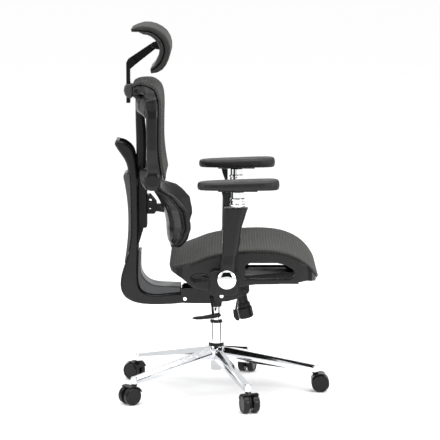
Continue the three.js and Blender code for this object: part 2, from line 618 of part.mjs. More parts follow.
// A pressed pan under the seat, with low walls, a slot in each front wall and two hinge ears.
function seatTray() {
  const [w, t] = [TRAY_HALF_W, TRAY_WALL_T];
  const lowTop = TRAY_Z + TRAY_T + 11;
  const pan = block([-w, TRAY_FRONT_Y, TRAY_Z], [w, TRAY_REAR_Y, TRAY_Z + TRAY_T]);
  const wall = sidePlate([[TRAY_FRONT_Y, TRAY_Z], [TRAY_REAR_Y, TRAY_Z], [TRAY_REAR_Y, lowTop], [-72, lowTop],
    [-84, 399], [-215, 411], [TRAY_FRONT_Y + 12, 411], [TRAY_FRONT_Y, 400]], w - t, w);
  const slot = block([w - t - 5, -226, 387], [w + 5, -104, 393]);
  const frontWall = block([-w, TRAY_FRONT_Y, TRAY_Z], [w, TRAY_FRONT_Y + t, 400]);
  const earX = HOUSING_HALF_W + 2;
  const ear = sidePlate([[-104, TRAY_Z + 2], [-103, 330], [-96, 324], [-84, 324], [-78, 332], [-76, TRAY_Z + 2]],
    earX, earX + 5);
  const reach = earX + 10;
  return union(pan, bothSides(wall.subtract(slot)), frontWall, bothSides(ear))
    .subtract(crossBar(SEAT_PIVOT, -reach, reach, SMALL_PIN_R + RUN));
}
const earOuterX = HOUSING_HALF_W + 7;
chair.add(piece("seat_tray", seatTray(), "blackSteel"));
chair.add(piece("seat_frame", seatFrame(), "charcoal"));
chair.add(piece("seat_mesh", seatMesh, "mesh"));
chair.add(piece("seat_pivot_pin", headedPin(SEAT_PIVOT, earOuterX, SMALL_PIN_R), "chrome"));

// ---------------------------------------------------------------- arms (built on +X, mirrored to -X)
const postMidY = (z) => STEM_Y + 4 + POST_LEAN * (SLEEVE_TOP_Z - z);
const sleeveInnerX = ARM_X - SLEEVE_HALF_X;
const bracketX = [SEAT_HALF_W + GAP, sleeveInnerX - GAP];

// A plate beside the cheek and a foot under it, which reaches in towards the tray's edge.
const ARM_FOOT_T = 13;
function armBracket() {
  const footTop = SEAT_BELLY_Z - GAP;
  const foot = footTop - ARM_FOOT_T;
  const under = block([TRAY_HALF_W + GAP, -56, foot], [bracketX[1] - 2, 12, footTop]);
  const upright = sidePlate([[-66, foot + 10], [-58, foot], [14, foot], [20, foot + 10], [18, 428], [10, 436],
    [-58, 436], [-66, 428]], bracketX[0], bracketX[1], 1.5);
  return union(under, upright);
}

// Sleeve edges seen from the side: a nearly straight rear edge and a front edge that flares
// into a lip at the top and widens round the cap at the foot.
const sleeveRearY = through([[392, -8], [418, -4], [446, -12], [490, -18], [600, -20], [636, -23]]);
const sleeveFrontY = through([[392, -58], [418, -62], [446, -60], [490, -64], [524, -73], [580, -80],
  [612, -90], [636, -99]]);
const SLEEVE_HEIGHTS = [392, 404, 418, 446, 462, 490, 524, 580, 604, 622, 636];

function armSleeve() {
  const oval = ovalPoints(14, 4);
  const rings = SLEEVE_HEIGHTS.map((z) => {
    const [rear, front] = [sleeveRearY(z), sleeveFrontY(z)];
    const halfX = z < 470 ? SLEEVE_HALF_X : SLEEVE_HALF_X - 2;
    const [middle, halfY] = [(rear + front) / 2, (rear - front) / 2];
    return oval.map(([a, b]) => new THREE.Vector3(ARM_X + halfX * a, middle + b * halfY, z));
  });
  const inner = loft([POST_FOOT_Z - 6, SLEEVE_TOP_Z + 10].map((z) => postCorners(z, RUN)));
  return loft(rings).subtract(inner);
}

function postCorners(z, extra) {
  const [hx, hy, y] = [POST_HALF_X + extra, POST_HALF_Y + extra, postMidY(z)];
  const corners = [[-hx, -hy], [hx, -hy], [hx, hy], [-hx, hy]];
  return corners.map(([dx, dy]) => new THREE.Vector3(ARM_X + dx, y + dy, z));
}

// The chromed post: a leaning bar in the sleeve, banded rings and a round neck under the pad.
const NECK_TOP_Z = 684;
function armPost() {
  const barPart = loft([POST_FOOT_Z, SLEEVE_TOP_Z + 6].map((z) => postCorners(z, 0)));
  const foot = SLEEVE_TOP_Z + 3;
  const neck = turned([[0, foot], [23, foot], [24.5, foot + 2], [24.5, foot + 8], [21.5, foot + 10],
    [21.5, foot + 17], [23.5, foot + 19], [23.5, foot + 25], [20, foot + 27], [20, NECK_TOP_Z], [0, NECK_TOP_Z]], 18);
  return barPart.add(neck.translate([ARM_X, STEM_Y, 0]));
}

// The arm-height button: a curved finger lever behind the neck.
const BUTTON_TRAVEL = 3;
function armButton() {
  const face = [[-17, 683], [-21, 668], [-27, 652], [-30, 643]];
  const inner = STEM_Y + 24.5 + 1;
  const outline = [...smooth(face, 6), [inner + BUTTON_TRAVEL, 643], [inner + BUTTON_TRAVEL, 683]];
  return sidePlate(outline, ARM_X - 13, ARM_X + 13, 1.2);
}

const padBaseFoot = NECK_TOP_Z + GAP;
const padBase = union(
  bar([ARM_X, STEM_Y, padBaseFoot], [ARM_X, STEM_Y, padBaseFoot + 3.5], 19, 24),
  block([ARM_X - 26, STEM_Y - 60, padBaseFoot + 2.5], [ARM_X + 26, STEM_Y + 60, PAD_FOOT_Z - GAP - 1]),
);

// The pad: a long rounded cushion, narrower underneath, that rises slightly to the front.
function armPad() {
  const oval = ovalPoints(20, 3.6);
  const half = PAD_LENGTH / 2;
  // Each layer is [height, width, length], as shares of the pad's own.
  const layers = [[0, 0.9, 0.965], [0.12, 0.96, 0.985], [0.45, 1, 1], [0.78, 0.965, 0.99], [0.93, 0.87, 0.96],
    [1, 0.7, 0.9]];
  const rings = layers.map(([up, wide, long]) => oval.map(([a, b]) => {
    const y = b * half * long;
    return new THREE.Vector3(a * PAD_HALF_W * wide, y, up * PAD_T - (up > 0 ? PAD_PITCH * y * up : 0));
  }));
  return loft(rings).translate([ARM_X, PAD_MID_Y, PAD_FOOT_Z]);
}

const capProfile = [[0, 0], [CAP_R, 0], [CAP_R, 2.5], [CAP_R - 2, 4], [CAP_R * 0.72, 7.5], [CAP_R * 0.38, 9.5],
  [0, 10.2]];
const armCap = turned(capProfile, 24).rotate([0, 90, 0]).translate([ARM_X + SLEEVE_HALF_X + GAP, -33, 416]);

const armPieces = {
  arm_bracket: [armBracket(), "charcoal"],
  arm_sleeve: [armSleeve(), "charcoal"],
  arm_post: [armPost(), "chrome"],
  arm_button: [armButton(), "blackPlastic"],
  arm_pad_base: [padBase, "blackPlastic"],
  arm_pad: [armPad(), "urethane"],
  arm_cap: [armCap, "chrome"],
};
for (const [name, [solid, finish]] of Object.entries(armPieces)) {
  chair.add(piece(`${name}_left`, solid, finish));
  chair.add(piece(`${name}_right`, mirrored(solid), finish));
}

// ---------------------------------------------------------------- L-shaped spine
const SPINE_REAR = [[314, 816], [320, 804], [304, 777], [287, 751], [279, 726], [276, 690], [273, 620],
  [271, 560], [273, 505], [279, 457], [290, 418], [300, 388], [304, 356], [301, 335], [291, 317], [277, 306],
  [259, 298], [235, 293], [210, 291], [177, 291], [144, 292], [111, 295], [84, 298]];
const SPINE_TOE = [[84, 328], [111, 329]];
const SPINE_FRONT = [[112, 330], [155, 326], [191, 323], [220, 328], [239, 340], [248, 366], [249, 400],
  [247, 461], [245, 540], [246, 620], [247, 700], [252, 749], [260, 782], [272, 798], [290, 810]];
const COVER_SPAN = 8; // the inner cover follows this many points of the spine's front
const COVER_OUTER = [[283, 712], [293, 703], [289, 679], [283, 641], [279, 600], [278, 555], [280, 508],
  [285, 462], [291, 425]];
const COVER_INNER = [[286, 424], [276, 462], [269, 505], [267, 560], [268, 620], [270, 680], [272, 708]];
const CHANNEL_REAR_Y = 263;
const CHANNEL_FOOT_Z = 462;

const spineOutline = [...smooth(SPINE_REAR, 40), ...SPINE_TOE, ...smooth(SPINE_FRONT, 26)];
const spineInner = SPINE_HALF_W - SPINE_WALL;
const spineReach = SPINE_HALF_W + 5;

function spineShell() {
  const body = sidePlate(spineOutline, -SPINE_HALF_W, SPINE_HALF_W, 5);
  const channel = sidePlate([[200, CHANNEL_FOOT_Z], [CHANNEL_REAR_Y, CHANNEL_FOOT_Z], [CHANNEL_REAR_Y, 700],
    [268, 730], [278, 757], [293, 779], [305, 800], [306, 832], [200, 832]], -spineInner, spineInner);
  const coverRoom = sidePlate([[300, 716], [330, 690], [330, 422],
    ...smooth(COVER_INNER, 12).map(([y, z]) => [y - GAP, z - GAP]), [272, 714]], -spineReach, spineReach);
  return body.subtract(channel).subtract(coverRoom)
    .subtract(crossBar(FOOT_BOLT, -spineReach, spineReach, SMALL_PIN_R + GAP));
}

const rearCover = sidePlate([...smooth(COVER_OUTER, 16), ...smooth(COVER_INNER, 12)],
  -SPINE_HALF_W + 3, SPINE_HALF_W - 3, 2);

// The smooth inner cover: it lines the bend from the foot up to the channel.
const COVER_LINE = [[112, 348], [147, 350], [176, 351], [202, 356], [220, 366], [232, 381], [238, 398],
  [239, 424], [238, 461]];
function footCover() {
  const outer = smooth(SPINE_FRONT.slice(0, COVER_SPAN), 20);
  const outline = [...smooth(COVER_LINE, 20), ...outer.reverse()];
  const strip = sidePlate(outline, -SPINE_HALF_W + 4, SPINE_HALF_W - 4, 2);
  const shellFront = sidePlate(spineOutline, -SPINE_HALF_W, SPINE_HALF_W);
  return strip.subtract(shellFront.translate([0, 0, GAP])).subtract(shellFront.translate([0, -GAP, 0]));
}

chair.add(piece("spine_shell", spineShell(), "charcoal"));
chair.add(piece("spine_rear_cover", rearCover, "greyPlastic"));
chair.add(piece("spine_foot_cover", footCover(), "greyPlastic"));
chair.add(piece("spine_bolt", headedPin(FOOT_BOLT, plateOuterX, SMALL_PIN_R), "chrome"));

// ---------------------------------------------------------------- backrest
// The seam where the mesh meets the side frame, from the bottom to the top.
const BACK_SEAM = [[163, 702], [168, 728], [173, 760], [177, 805], [177, 865], [176, 925], [178, 952], [186, 976],
  [203, 990], [228, 995], [248, 992], [261, 984]];
const backHalfWidth = through([[0, 196], [0.12, 206], [0.3, BACK_HALF_W], [0.55, BACK_HALF_W], [0.7, 200],
  [0.82, 160], [0.92, 112], [1, 84]]);
const backBow = (x, s) => [BACK_BOW * Math.sin(Math.PI * Math.min(1, s * 1.25))
  * betweenRails(x, backHalfWidth(s)), 0];

const backMesh = acrossLine({
  line: BACK_SEAM,
  stations: 18,
  halfWidth: backHalfWidth,
  back: () => SEAM_GAP,
  front: () => BACK_MESH_T,
  across: 4,
  edge: 0.02,
  reach: SAG_SHARE,
  shift: backBow,
});

const backKnots = BACK_SEAM.map(([y, z]) => new THREE.Vector3(0, y, z));
const backCurve = new THREE.CatmullRomCurve3(backKnots, false, "centripetal");

// One side rail: an oval bar just behind the mesh's edge, from the bottom to the top of the back.
const backRailDepth = through([[0, 48], [0.12, 44], [0.3, 38], [0.55, 40], [0.7, 50], [0.85, 34], [1, 26]]);
function backSideRail() {
  const oval = ovalPoints(10, 3.2);
  const rings = [];
  const STATIONS = 18;
  for (let i = 0; i <= STATIONS; i += 1) {
    const s = i / STATIONS;
    const at = backCurve.getPointAt(s);
    const along = backCurve.getTangentAt(s);
    const normal = new THREE.Vector3(0, -along.z, along.y);
    rings.push(oval.map(([a, b]) => {
      const x = backHalfWidth(s) - 1 - BACK_RAIL_W / 2 + (a * BACK_RAIL_W) / 2;
      const depth = -(backRailDepth(s) * (b + 1)) / 2;
      return new THREE.Vector3(x, at.y + normal.y * depth, at.z + normal.z * depth);
    }));
  }
  return loft(rings);
}

// A flat-sided bar between two oval ends, for the arms of the yoke: each end is [x, y, z, halfY, halfZ].
function yokeArm(ends) {
  const oval = ovalPoints(10, 3);
  return loft(ends.map(([x, y, z, halfY, halfZ]) => oval.map(([a, b]) => (
    new THREE.Vector3(x, y + a * halfY, z + b * halfZ)))));
}

const CENTRE_BAR = { halfW: 33, front: 226, rear: 253, foot: 690 };
function backFrame() {
  const { halfW, front, rear, foot } = CENTRE_BAR;
  const sideRails = bothSides(backSideRail());
  const centre = sidePlate([...smooth([[front, foot], [front - 4, 780], [front, 880], [236, 930], [236, 966],
    [246, 978]], 12), [261.5, 982], [262, 950], ...smooth([[254, 945], [254, 880], [252, 800], [rear, foot]], 8)],
  -halfW, halfW, 4);
  const topBar = yokeArm([[-100, 246, 972, 14, 10], [0, 248, 975, 13, 9], [100, 246, 972, 14, 10]]);
  const upperArm = yokeArm([[0, 243, 925, 10, 26], [60, 240, 930, 11, 27], [110, 231, 932, 14, 27],
    [150, 218, 929, 18, 28], [185, 203, 920, 19, 28]]);
  // The lower arms swell into a rounded end behind each side rail's foot.
  const lowerArm = yokeArm([[0, 233, 712, 9, 22], [70, 231, 712, 11, 22], [128, 223, 709, 16, 24],
    [160, 209, 705, 24, 30], [184, 198, 704, 29, 33], [198, 197, 704, 27, 30], [204, 197, 704, 20, 22]]);
  return union(sideRails, centre, topBar, bothSides(upperArm), bothSides(lowerArm));
}

// The back's ratchet rail runs down from the frame into the spine's channel.
const RAIL = { front: 219, rear: 247, foot: 534, tongueRear: 259, tongueFoot: 486 };
const backRail = union(
  sidePlate([[RAIL.front, CENTRE_BAR.foot - GAP], [RAIL.front, RAIL.foot + 4], [RAIL.front + 4, RAIL.foot],
    [RAIL.rear - 4, RAIL.foot], [RAIL.rear, RAIL.foot - 4], [RAIL.rear, CENTRE_BAR.foot - GAP]],
  -RAIL_HALF_W, RAIL_HALF_W, 2),
  sidePlate([[RAIL.front + 10, CENTRE_BAR.foot - 30], [RAIL.front + 12, RAIL.foot - 5], [RAIL.rear - 3, RAIL.tongueFoot],
    [RAIL.tongueRear, RAIL.tongueFoot], [RAIL.tongueRear, CENTRE_BAR.foot - 30]], -20, 20),
);

chair.add(piece("back_frame", backFrame(), "charcoal"));
chair.add(piece("back_mesh", backMesh, "mesh"));
chair.add(piece("back_rail", backRail, "blackPlastic"));

// ---------------------------------------------------------------- lumbar support
const LUMBAR_PIVOT = [197, 596];
// Seen from the side: the rear of the shell at the middle, and how far forward its wings reach.
const LUMBAR_REAR = [[146, 486], [156, 506], [158, 529], [160, 560], [167, 592], [182, 627], [198, 653],
  [205, 668]];
const lumbarWingY = through([[486, 112], [500, 96], [520, 81], [557, 70], [601, 76], [625, 92], [645, 112],
  [661, 140], [668, 164]]);
const lumbarHalfWidth = through([[486, 128], [510, 172], [545, LUMBAR_HALF_W], [610, LUMBAR_HALF_W - 2],
  [645, 172], [668, 126]]);
const LUMBAR_SWEEP = 2.6; // how late the wings turn forwards
const LUMBAR_SHELL_T = 9;
const LUMBAR_PAD_T = 30;

// Both skins of the support share one bent plate: its wings sweep forward as they leave the middle.
function lumbarPlate(behind, ahead) {
  const band = bandPoints(10, 0.05, 1);
  const knots = LUMBAR_REAR.map(([y, z]) => new THREE.Vector3(0, y, z));
  const curve = new THREE.CatmullRomCurve3(knots, false, "centripetal");
  const rings = [];
  const STATIONS = 11;
  for (let i = 0; i <= STATIONS; i += 1) {
    const at = curve.getPointAt(i / STATIONS);
    const half = lumbarHalfWidth(at.z);
    const reach = at.y - lumbarWingY(at.z) - LUMBAR_PAD_T;
    rings.push(band.map(([a, b]) => {
      const sweep = Math.max(0, reach) * Math.abs(a) ** LUMBAR_SWEEP;
      const depth = THREE.MathUtils.lerp(behind, ahead, (b + 1) / 2);
      return new THREE.Vector3(a * half, at.y - sweep - depth, at.z);
    }));
  }
  return loft(rings);
}
const lumbarLug = sidePlate([[160, 580], [LUMBAR_PIVOT[0], 586], [LUMBAR_PIVOT[0] + 9, 592], [LUMBAR_PIVOT[0] + 9, 602],
  [LUMBAR_PIVOT[0], 607], [168, 608]], -14, 14);
const lumbarShell = lumbarPlate(0, LUMBAR_SHELL_T)
  .add(lumbarLug)
  .subtract(crossBar(LUMBAR_PIVOT, -20, 20, SMALL_PIN_R + RUN));
const lumbarPad = lumbarPlate(LUMBAR_SHELL_T + 2 * GAP, LUMBAR_PAD_T);

// Two cheeks on the rail carry the pivot; each cheek has two lightening holes.
function lumbarBracket() {
  const rear = RAIL.front - GAP;
  const [foot, top] = [578, 638];
  const cheek = sidePlate([[rear, foot], [rear, top], [208, top], [190, 616], [186, 592], [196, foot]], 16, 22);
  const holes = union(crossBar([209, 620], 10, 30, 6), crossBar([210, 592], 10, 30, 4.5));
  const plate = block([-22, RAIL.front - 6, foot], [22, rear, top]);
  const pin = crossBar(LUMBAR_PIVOT, -18, 18, SMALL_PIN_R);
  return union(bothSides(cheek.subtract(holes)), plate, pin);
}
chair.add(piece("lumbar_bracket", lumbarBracket(), "blackPlastic"));
chair.add(piece("lumbar_shell", lumbarShell, "charcoal"));
chair.add(piece("lumbar_pad", lumbarPad, "leather"));

// ---------------------------------------------------------------- headrest
const collarOutline = [[262.5, 986], [262.5, 950], [268, 945], [280, 946], [288, 957], [291, 970], [289, 983],
  [281, 990], [268, 991]];
const collarSlotHalf = POST_BAR.halfW + RUN;
const collarSlot = block([-collarSlotHalf, POST_BAR.y0 - RUN, 930], [collarSlotHalf, POST_BAR.y1 + RUN, 1000]);
const headrestCollar = sidePlate(collarOutline, -28, 28, 3).subtract(collarSlot);

const HEAD_KNUCKLE_R = 14;
function headrestPost() {
  const [y, z] = HEAD_ARM_PIVOT;
  const { halfW, y0, y1 } = POST_BAR;
  const barPart = block([-halfW, y0, 930], [halfW, y1, z - 14]);
  const knuckle = union(
    crossBar(HEAD_ARM_PIVOT, -halfW, halfW, HEAD_KNUCKLE_R, 28),
    sidePlate([[y0, z - 22], [y1, z - 22], [y1, z], [y - 10, z - 10]], -halfW, halfW),
  );
  const armRoom = block([-HEAD_ARM_HALF_W - GAP, y - 40, z - 18], [HEAD_ARM_HALF_W + GAP, y + 30, z + 30]);
  return union(barPart, knuckle.subtract(armRoom), crossBar(HEAD_ARM_PIVOT, -halfW + 1, halfW - 1, SMALL_PIN_R));
}

// The arm: a flat strut with round ends.
function headrestArm() {
  const [y0, z0] = HEAD_ARM_PIVOT;
  const [y1, z1] = HEAD_PAD_PIVOT;
  const length = Math.hypot(y1 - y0, z1 - z0);
  const [ny, nz] = [-(z1 - z0) / length, (y1 - y0) / length];
  const half0 = HEAD_KNUCKLE_R;
  const half1 = 10.5;
  const strut = sidePlate([[y0 + ny * half0, z0 + nz * half0], [y0 - ny * half0, z0 - nz * half0],
    [y1 - ny * half1, z1 - nz * half1], [y1 + ny * half1, z1 + nz * half1]], -HEAD_ARM_HALF_W, HEAD_ARM_HALF_W);
  const ends = union(
    crossBar(HEAD_ARM_PIVOT, -HEAD_ARM_HALF_W, HEAD_ARM_HALF_W, half0, 28),
    crossBar(HEAD_PAD_PIVOT, -HEAD_ARM_HALF_W, HEAD_ARM_HALF_W, half1, 24),
  );
  return union(strut, ends)
    .subtract(crossBar(HEAD_ARM_PIVOT, -20, 20, SMALL_PIN_R + RUN))
    .subtract(crossBar(HEAD_PAD_PIVOT, -20, 20, SMALL_PIN_R + RUN));
}

// The pad curls back over its arm like a letter C, seen from the side: this is its front face.
const HEADREST_FACE = [[203, 1029], [184, 1032], [163, 1046], [147, 1074], [140, 1108], [150, 1142], [172, 1164],
  [202, 1177], [234, 1178], [266, 1166]];
const headrestPadT = through([[0, 8], [0.12, 17], [0.5, 19], [0.85, 15], [1, 4]]);
const headrestShellT = through([[0, 6], [0.12, 15], [0.5, 17], [0.85, 12], [1, 4]]);
const headrestHalfWidth = through([[0, HEADREST_HALF_W - 42], [0.2, HEADREST_HALF_W - 8], [0.5, HEADREST_HALF_W],
  [0.8, HEADREST_HALF_W - 8], [1, HEADREST_HALF_W - 42]]);
const headrestLayer = (from, to) => acrossLine({
  line: HEADREST_FACE,
  stations: 14,
  halfWidth: headrestHalfWidth,
  back: (s) => from(s),
  front: (s) => to(s),
  across: 6,
  edge: 0.09,
  arcSteps: 2,
});
const headrestPad = headrestLayer((s) => -headrestPadT(s), () => 0);
const headrestLug = sidePlate([[168, 1096], [HEAD_PAD_PIVOT[0] - 2, 1100], [HEAD_PAD_PIVOT[0] + 10, 1105],
  [HEAD_PAD_PIVOT[0] + 10, 1117], [HEAD_PAD_PIVOT[0] - 2, 1122], [168, 1126]], HEAD_ARM_HALF_W + 0.5, HEAD_ARM_HALF_W + 6);
const headrestArmRoom = crossBar(HEAD_PAD_PIVOT, -HEAD_ARM_HALF_W - GAP, HEAD_ARM_HALF_W + GAP, 13, 24);
const headrestShell = headrestLayer((s) => -headrestPadT(s) - GAP - headrestShellT(s), (s) => -headrestPadT(s) - GAP)
  .subtract(headrestArmRoom)
  .add(bothSides(headrestLug).subtract(headrestPad.translate([0, GAP, 0])).subtract(headrestPad))
  .add(crossBar(HEAD_PAD_PIVOT, -HEAD_ARM_HALF_W - 2, HEAD_ARM_HALF_W + 2, SMALL_PIN_R));

chair.add(piece("headrest_collar", headrestCollar, "greyPlastic"));
chair.add(piece("headrest_post", headrestPost(), "blackPlastic"));
chair.add(piece("headrest_arm", headrestArm(), "blackPlastic"));
chair.add(piece("headrest_shell", headrestShell, "charcoal"));
chair.add(piece("headrest_pad", headrestPad, "mesh"));

export default chair;
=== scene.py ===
"""Swivel office chair: finishes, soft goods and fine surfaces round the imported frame.

Metres, +Z up, the sitter faces -Y. Every piece is placed from the frame's own meshes and boxes.
"""
import json
import math

import bmesh
import bpy
import numpy as np
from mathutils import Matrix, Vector


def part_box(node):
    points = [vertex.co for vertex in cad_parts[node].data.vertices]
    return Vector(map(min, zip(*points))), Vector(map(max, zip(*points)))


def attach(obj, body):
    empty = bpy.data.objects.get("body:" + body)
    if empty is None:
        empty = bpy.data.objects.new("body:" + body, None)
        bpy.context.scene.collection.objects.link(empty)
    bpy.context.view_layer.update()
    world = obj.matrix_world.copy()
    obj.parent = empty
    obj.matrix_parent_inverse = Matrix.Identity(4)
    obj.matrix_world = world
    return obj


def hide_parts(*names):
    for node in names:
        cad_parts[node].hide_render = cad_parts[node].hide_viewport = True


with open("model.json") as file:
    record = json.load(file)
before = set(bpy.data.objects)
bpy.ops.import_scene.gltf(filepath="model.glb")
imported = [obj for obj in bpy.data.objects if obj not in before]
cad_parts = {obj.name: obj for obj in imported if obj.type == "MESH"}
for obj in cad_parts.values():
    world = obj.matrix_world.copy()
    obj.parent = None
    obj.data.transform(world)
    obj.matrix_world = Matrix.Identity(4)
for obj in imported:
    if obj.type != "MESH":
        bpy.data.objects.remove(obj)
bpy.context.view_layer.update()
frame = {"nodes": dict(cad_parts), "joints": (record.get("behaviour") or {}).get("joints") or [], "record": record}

MM = 0.001
SIDES = ("left", "right")
CASTERS = range(1, 6)
JOINTS = {joint["name"]: joint for joint in frame["joints"]}
BODY_OF = {node: body for body, nodes in frame["record"]["behaviour"]["bodies"].items() for node in nodes}
SLOT_OF = {part["node"]: part["material_slot"] for part in frame["record"]["subparts"]}


def middle(node):
    """The middle of a node's box."""
    low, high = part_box(node)
    return np.array((low + high) / 2)


def corners(node):
    """All corners of a node's mesh, one row each."""
    mesh = frame["nodes"][node].data
    at = np.zeros(len(mesh.vertices) * 3)
    mesh.vertices.foreach_get("co", at)
    return at.reshape(-1, 3)


COLUMN_Y = middle("gas_piston")[1]


# ------------------------------------------------------------------ finishes
def new_finish(name, colour, roughness, metallic=0.0, specular=0.5):
    """A material whose plain values sit on the shader's own sockets."""
    material = bpy.data.materials.new(name)
    material.use_nodes = True
    shader = material.node_tree.nodes["Principled BSDF"]
    shader.inputs["Base Color"].default_value = (*colour, 1.0)
    shader.inputs["Roughness"].default_value = roughness
    shader.inputs["Metallic"].default_value = metallic
    shader.inputs["Specular IOR Level"].default_value = specular
    return material


def node(material, kind, inputs=(), **settings):
    """Adds a node to the material, with its settings, and its inputs linked or set by name."""
    made = material.node_tree.nodes.new(kind)
    for key, value in settings.items():
        setattr(made, key, value)
    for key, value in dict(inputs).items():
        if isinstance(value, bpy.types.NodeSocket):
            material.node_tree.links.new(value, made.inputs[key])
        else:
            made.inputs[key].default_value = value
    return made


def to_shader(material, socket, output):
    """Links an output to one of the shader's sockets."""
    shader = material.node_tree.nodes["Principled BSDF"]
    material.node_tree.links.new(output, shader.inputs[socket])


def place(material, kind="Object"):
    """The piece's own coordinates."""
    return node(material, "ShaderNodeTexCoord").outputs[kind]


def clouds(material, per_metre, detail=3.0):
    """Soft noise with that many cells to the metre, from 0 to 1."""
    made = node(material, "ShaderNodeTexNoise", {"Vector": place(material), "Scale": per_metre, "Detail": detail})
    return made.outputs["Fac"]


def between(material, value, low, high, start=0.3, end=0.7):
    """The value spread from low to high as it goes from start to end."""
    made = node(material, "ShaderNodeMapRange", {
        "Value": value, "From Min": start, "From Max": end, "To Min": low, "To Max": high})
    return made.outputs["Result"]


def blended(material, share, dark, light):
    """A colour between two, by share."""
    made = node(material, "ShaderNodeMix", data_type="RGBA")
    material.node_tree.links.new(share, made.inputs["Factor"])
    made.inputs["A"].default_value = (*dark, 1.0)
    made.inputs["B"].default_value = (*light, 1.0)
    return made.outputs[2]


def raised(material, height, distance, strength=1.0, below=None):
    """The shading normal of a surface whose height varies by distance metres."""
    inputs = {"Height": height, "Distance": distance, "Strength": strength}
    if below is not None:
        inputs["Normal"] = below
    return node(material, "ShaderNodeBump", inputs).outputs["Normal"]


def moulded_plastic(name, colour, roughness, grain_per_metre=900.0, grain=0.00012, lift=1.35, specular=0.3):
    """Injection-moulded plastic: a fine etched grain, slow drifts of tone, and patches that shine a little more."""
    material = new_finish(name, colour, roughness, specular=specular)
    light = tuple(channel * lift for channel in colour)
    tone = between(material, clouds(material, 9.0, 5.0), 0.0, 1.0)
    to_shader(material, "Base Color", blended(material, tone, colour, light))
    to_shader(material, "Roughness", between(material, clouds(material, 26.0), roughness - 0.05, roughness + 0.07))
    grit = clouds(material, grain_per_metre, 2.0)
    to_shader(material, "Normal", raised(material, grit, grain, 0.55))
    return material


def bright_metal(name, colour, roughness, streak_per_metre, waviness):
    """Buffed metal: a near mirror with faint wipe marks in its gloss and a slow waviness in its face."""
    material = new_finish(name, colour, roughness, metallic=1.0)
    dull = tuple(channel * 0.94 for channel in colour)
    tone = between(material, clouds(material, 18.0), 0.0, 1.0)
    to_shader(material, "Base Color", blended(material, tone, dull, colour))
    marks = clouds(material, streak_per_metre, 5.0)
    to_shader(material, "Roughness", between(material, marks, roughness * 0.6, roughness * 1.7))
    to_shader(material, "Normal", raised(material, clouds(material, 30.0, 1.0), waviness, 0.4))
    return material


def powder_coat(name, colour):
    """Powder-coated steel: orange peel over a dark, half-matt face."""
    material = new_finish(name, colour, 0.36, specular=0.3)
    peel = clouds(material, 420.0, 1.0)
    light = tuple(channel * 1.8 for channel in colour)
    to_shader(material, "Base Color", blended(material, clouds(material, 14.0, 4.0), colour, light))
    to_shader(material, "Roughness", between(material, clouds(material, 60.0), 0.28, 0.45))
    to_shader(material, "Normal", raised(material, peel, 0.00025, 0.6))
    return material


def threads(material, axis, pitch, offset=0.0):
    """A row of round threads along one UV axis, in metres: the sine of position over pitch, from 0 to 1."""
    split = node(material, "ShaderNodeSeparateXYZ", {"Vector": place(material, "UV")})
    turns = node(material, "ShaderNodeMath", operation="MULTIPLY_ADD")
    material.node_tree.links.new(split.outputs[axis], turns.inputs[0])
    turns.inputs[1].default_value = 2 * math.pi / pitch
    turns.inputs[2].default_value = offset
    wave = node(material, "ShaderNodeMath", operation="SINE")
    material.node_tree.links.new(turns.outputs[0], wave.inputs[0])
    return between(material, wave.outputs[0], 0.0, 1.0, -1.0, 1.0)


def product(material, a, b):
    """Two values multiplied."""
    made = node(material, "ShaderNodeMath", operation="MULTIPLY")
    material.node_tree.links.new(a, made.inputs[0])
    material.node_tree.links.new(b, made.inputs[1])
    return made.outputs[0]


def larger(material, a, b):
    """The larger of two values."""
    made = node(material, "ShaderNodeMath", operation="MAXIMUM")
    material.node_tree.links.new(a, made.inputs[0])
    material.node_tree.links.new(b, made.inputs[1])
    return made.outputs[0]


def woven_mesh(name, gap_shade_colour, thread_colour, rib_pitch, thread_pitch):
    """Elastic mesh: round ribs from side to side and finer threads between them, in the threads' own colour; the
    gaps carry painted shade where the holes would show the dark inside, and the troughs between the ribs are painted
    darker as shade.
    """
    material = new_finish(name, thread_colour, 0.72, specular=0.2)
    ribs = threads(material, "Y", rib_pitch)
    warp = threads(material, "X", thread_pitch)
    weft = threads(material, "Y", thread_pitch)
    net = larger(material, warp, weft)
    # The troughs between the ribs are painted darker: painted shade, not a change in the threads' colour.
    net = product(material, net, between(material, ribs, 0.55, 1.0, 0.0, 1.0))
    drift = between(material, clouds(material, 12.0), 0.85, 1.1)
    net = product(material, net, drift)
    # The gaps take the gap colour, painted shade where the holes would show the dark inside; the threads keep their
    # own colour.
    to_shader(material, "Base Color", blended(material, net, gap_shade_colour, thread_colour))
    to_shader(material, "Roughness", between(material, net, 0.9, 0.62, 0.0, 1.0))
    fine = raised(material, net, 0.0006, 0.5)
    to_shader(material, "Normal", raised(material, ribs, 0.0009, 0.5, below=fine))
    material.node_tree.nodes["Principled BSDF"].inputs["Sheen Weight"].default_value = 0.06
    material.node_tree.nodes["Principled BSDF"].inputs["Sheen Roughness"].default_value = 0.5
    return material


def grained_leather(name, colour, roughness, pebble_per_metre=520.0, specular=0.3):
    """Coated leather: small pebbles with creases between them, and a soft gloss that drifts."""
    material = new_finish(name, colour, roughness, specular=specular)
    pebbles = node(material, "ShaderNodeTexVoronoi", {"Vector": place(material), "Scale": pebble_per_metre},
                   feature="DISTANCE_TO_EDGE").outputs["Distance"]
    crease = between(material, pebbles, 0.0, 1.0, 0.0, 0.12)
    light = tuple(channel * 1.5 for channel in colour)
    to_shader(material, "Base Color", blended(material, clouds(material, 16.0, 5.0), colour, light))
    to_shader(material, "Roughness", between(material, clouds(material, 34.0), roughness - 0.06, roughness + 0.08))
    to_shader(material, "Normal", raised(material, crease, 0.0002, 0.45))
    return material


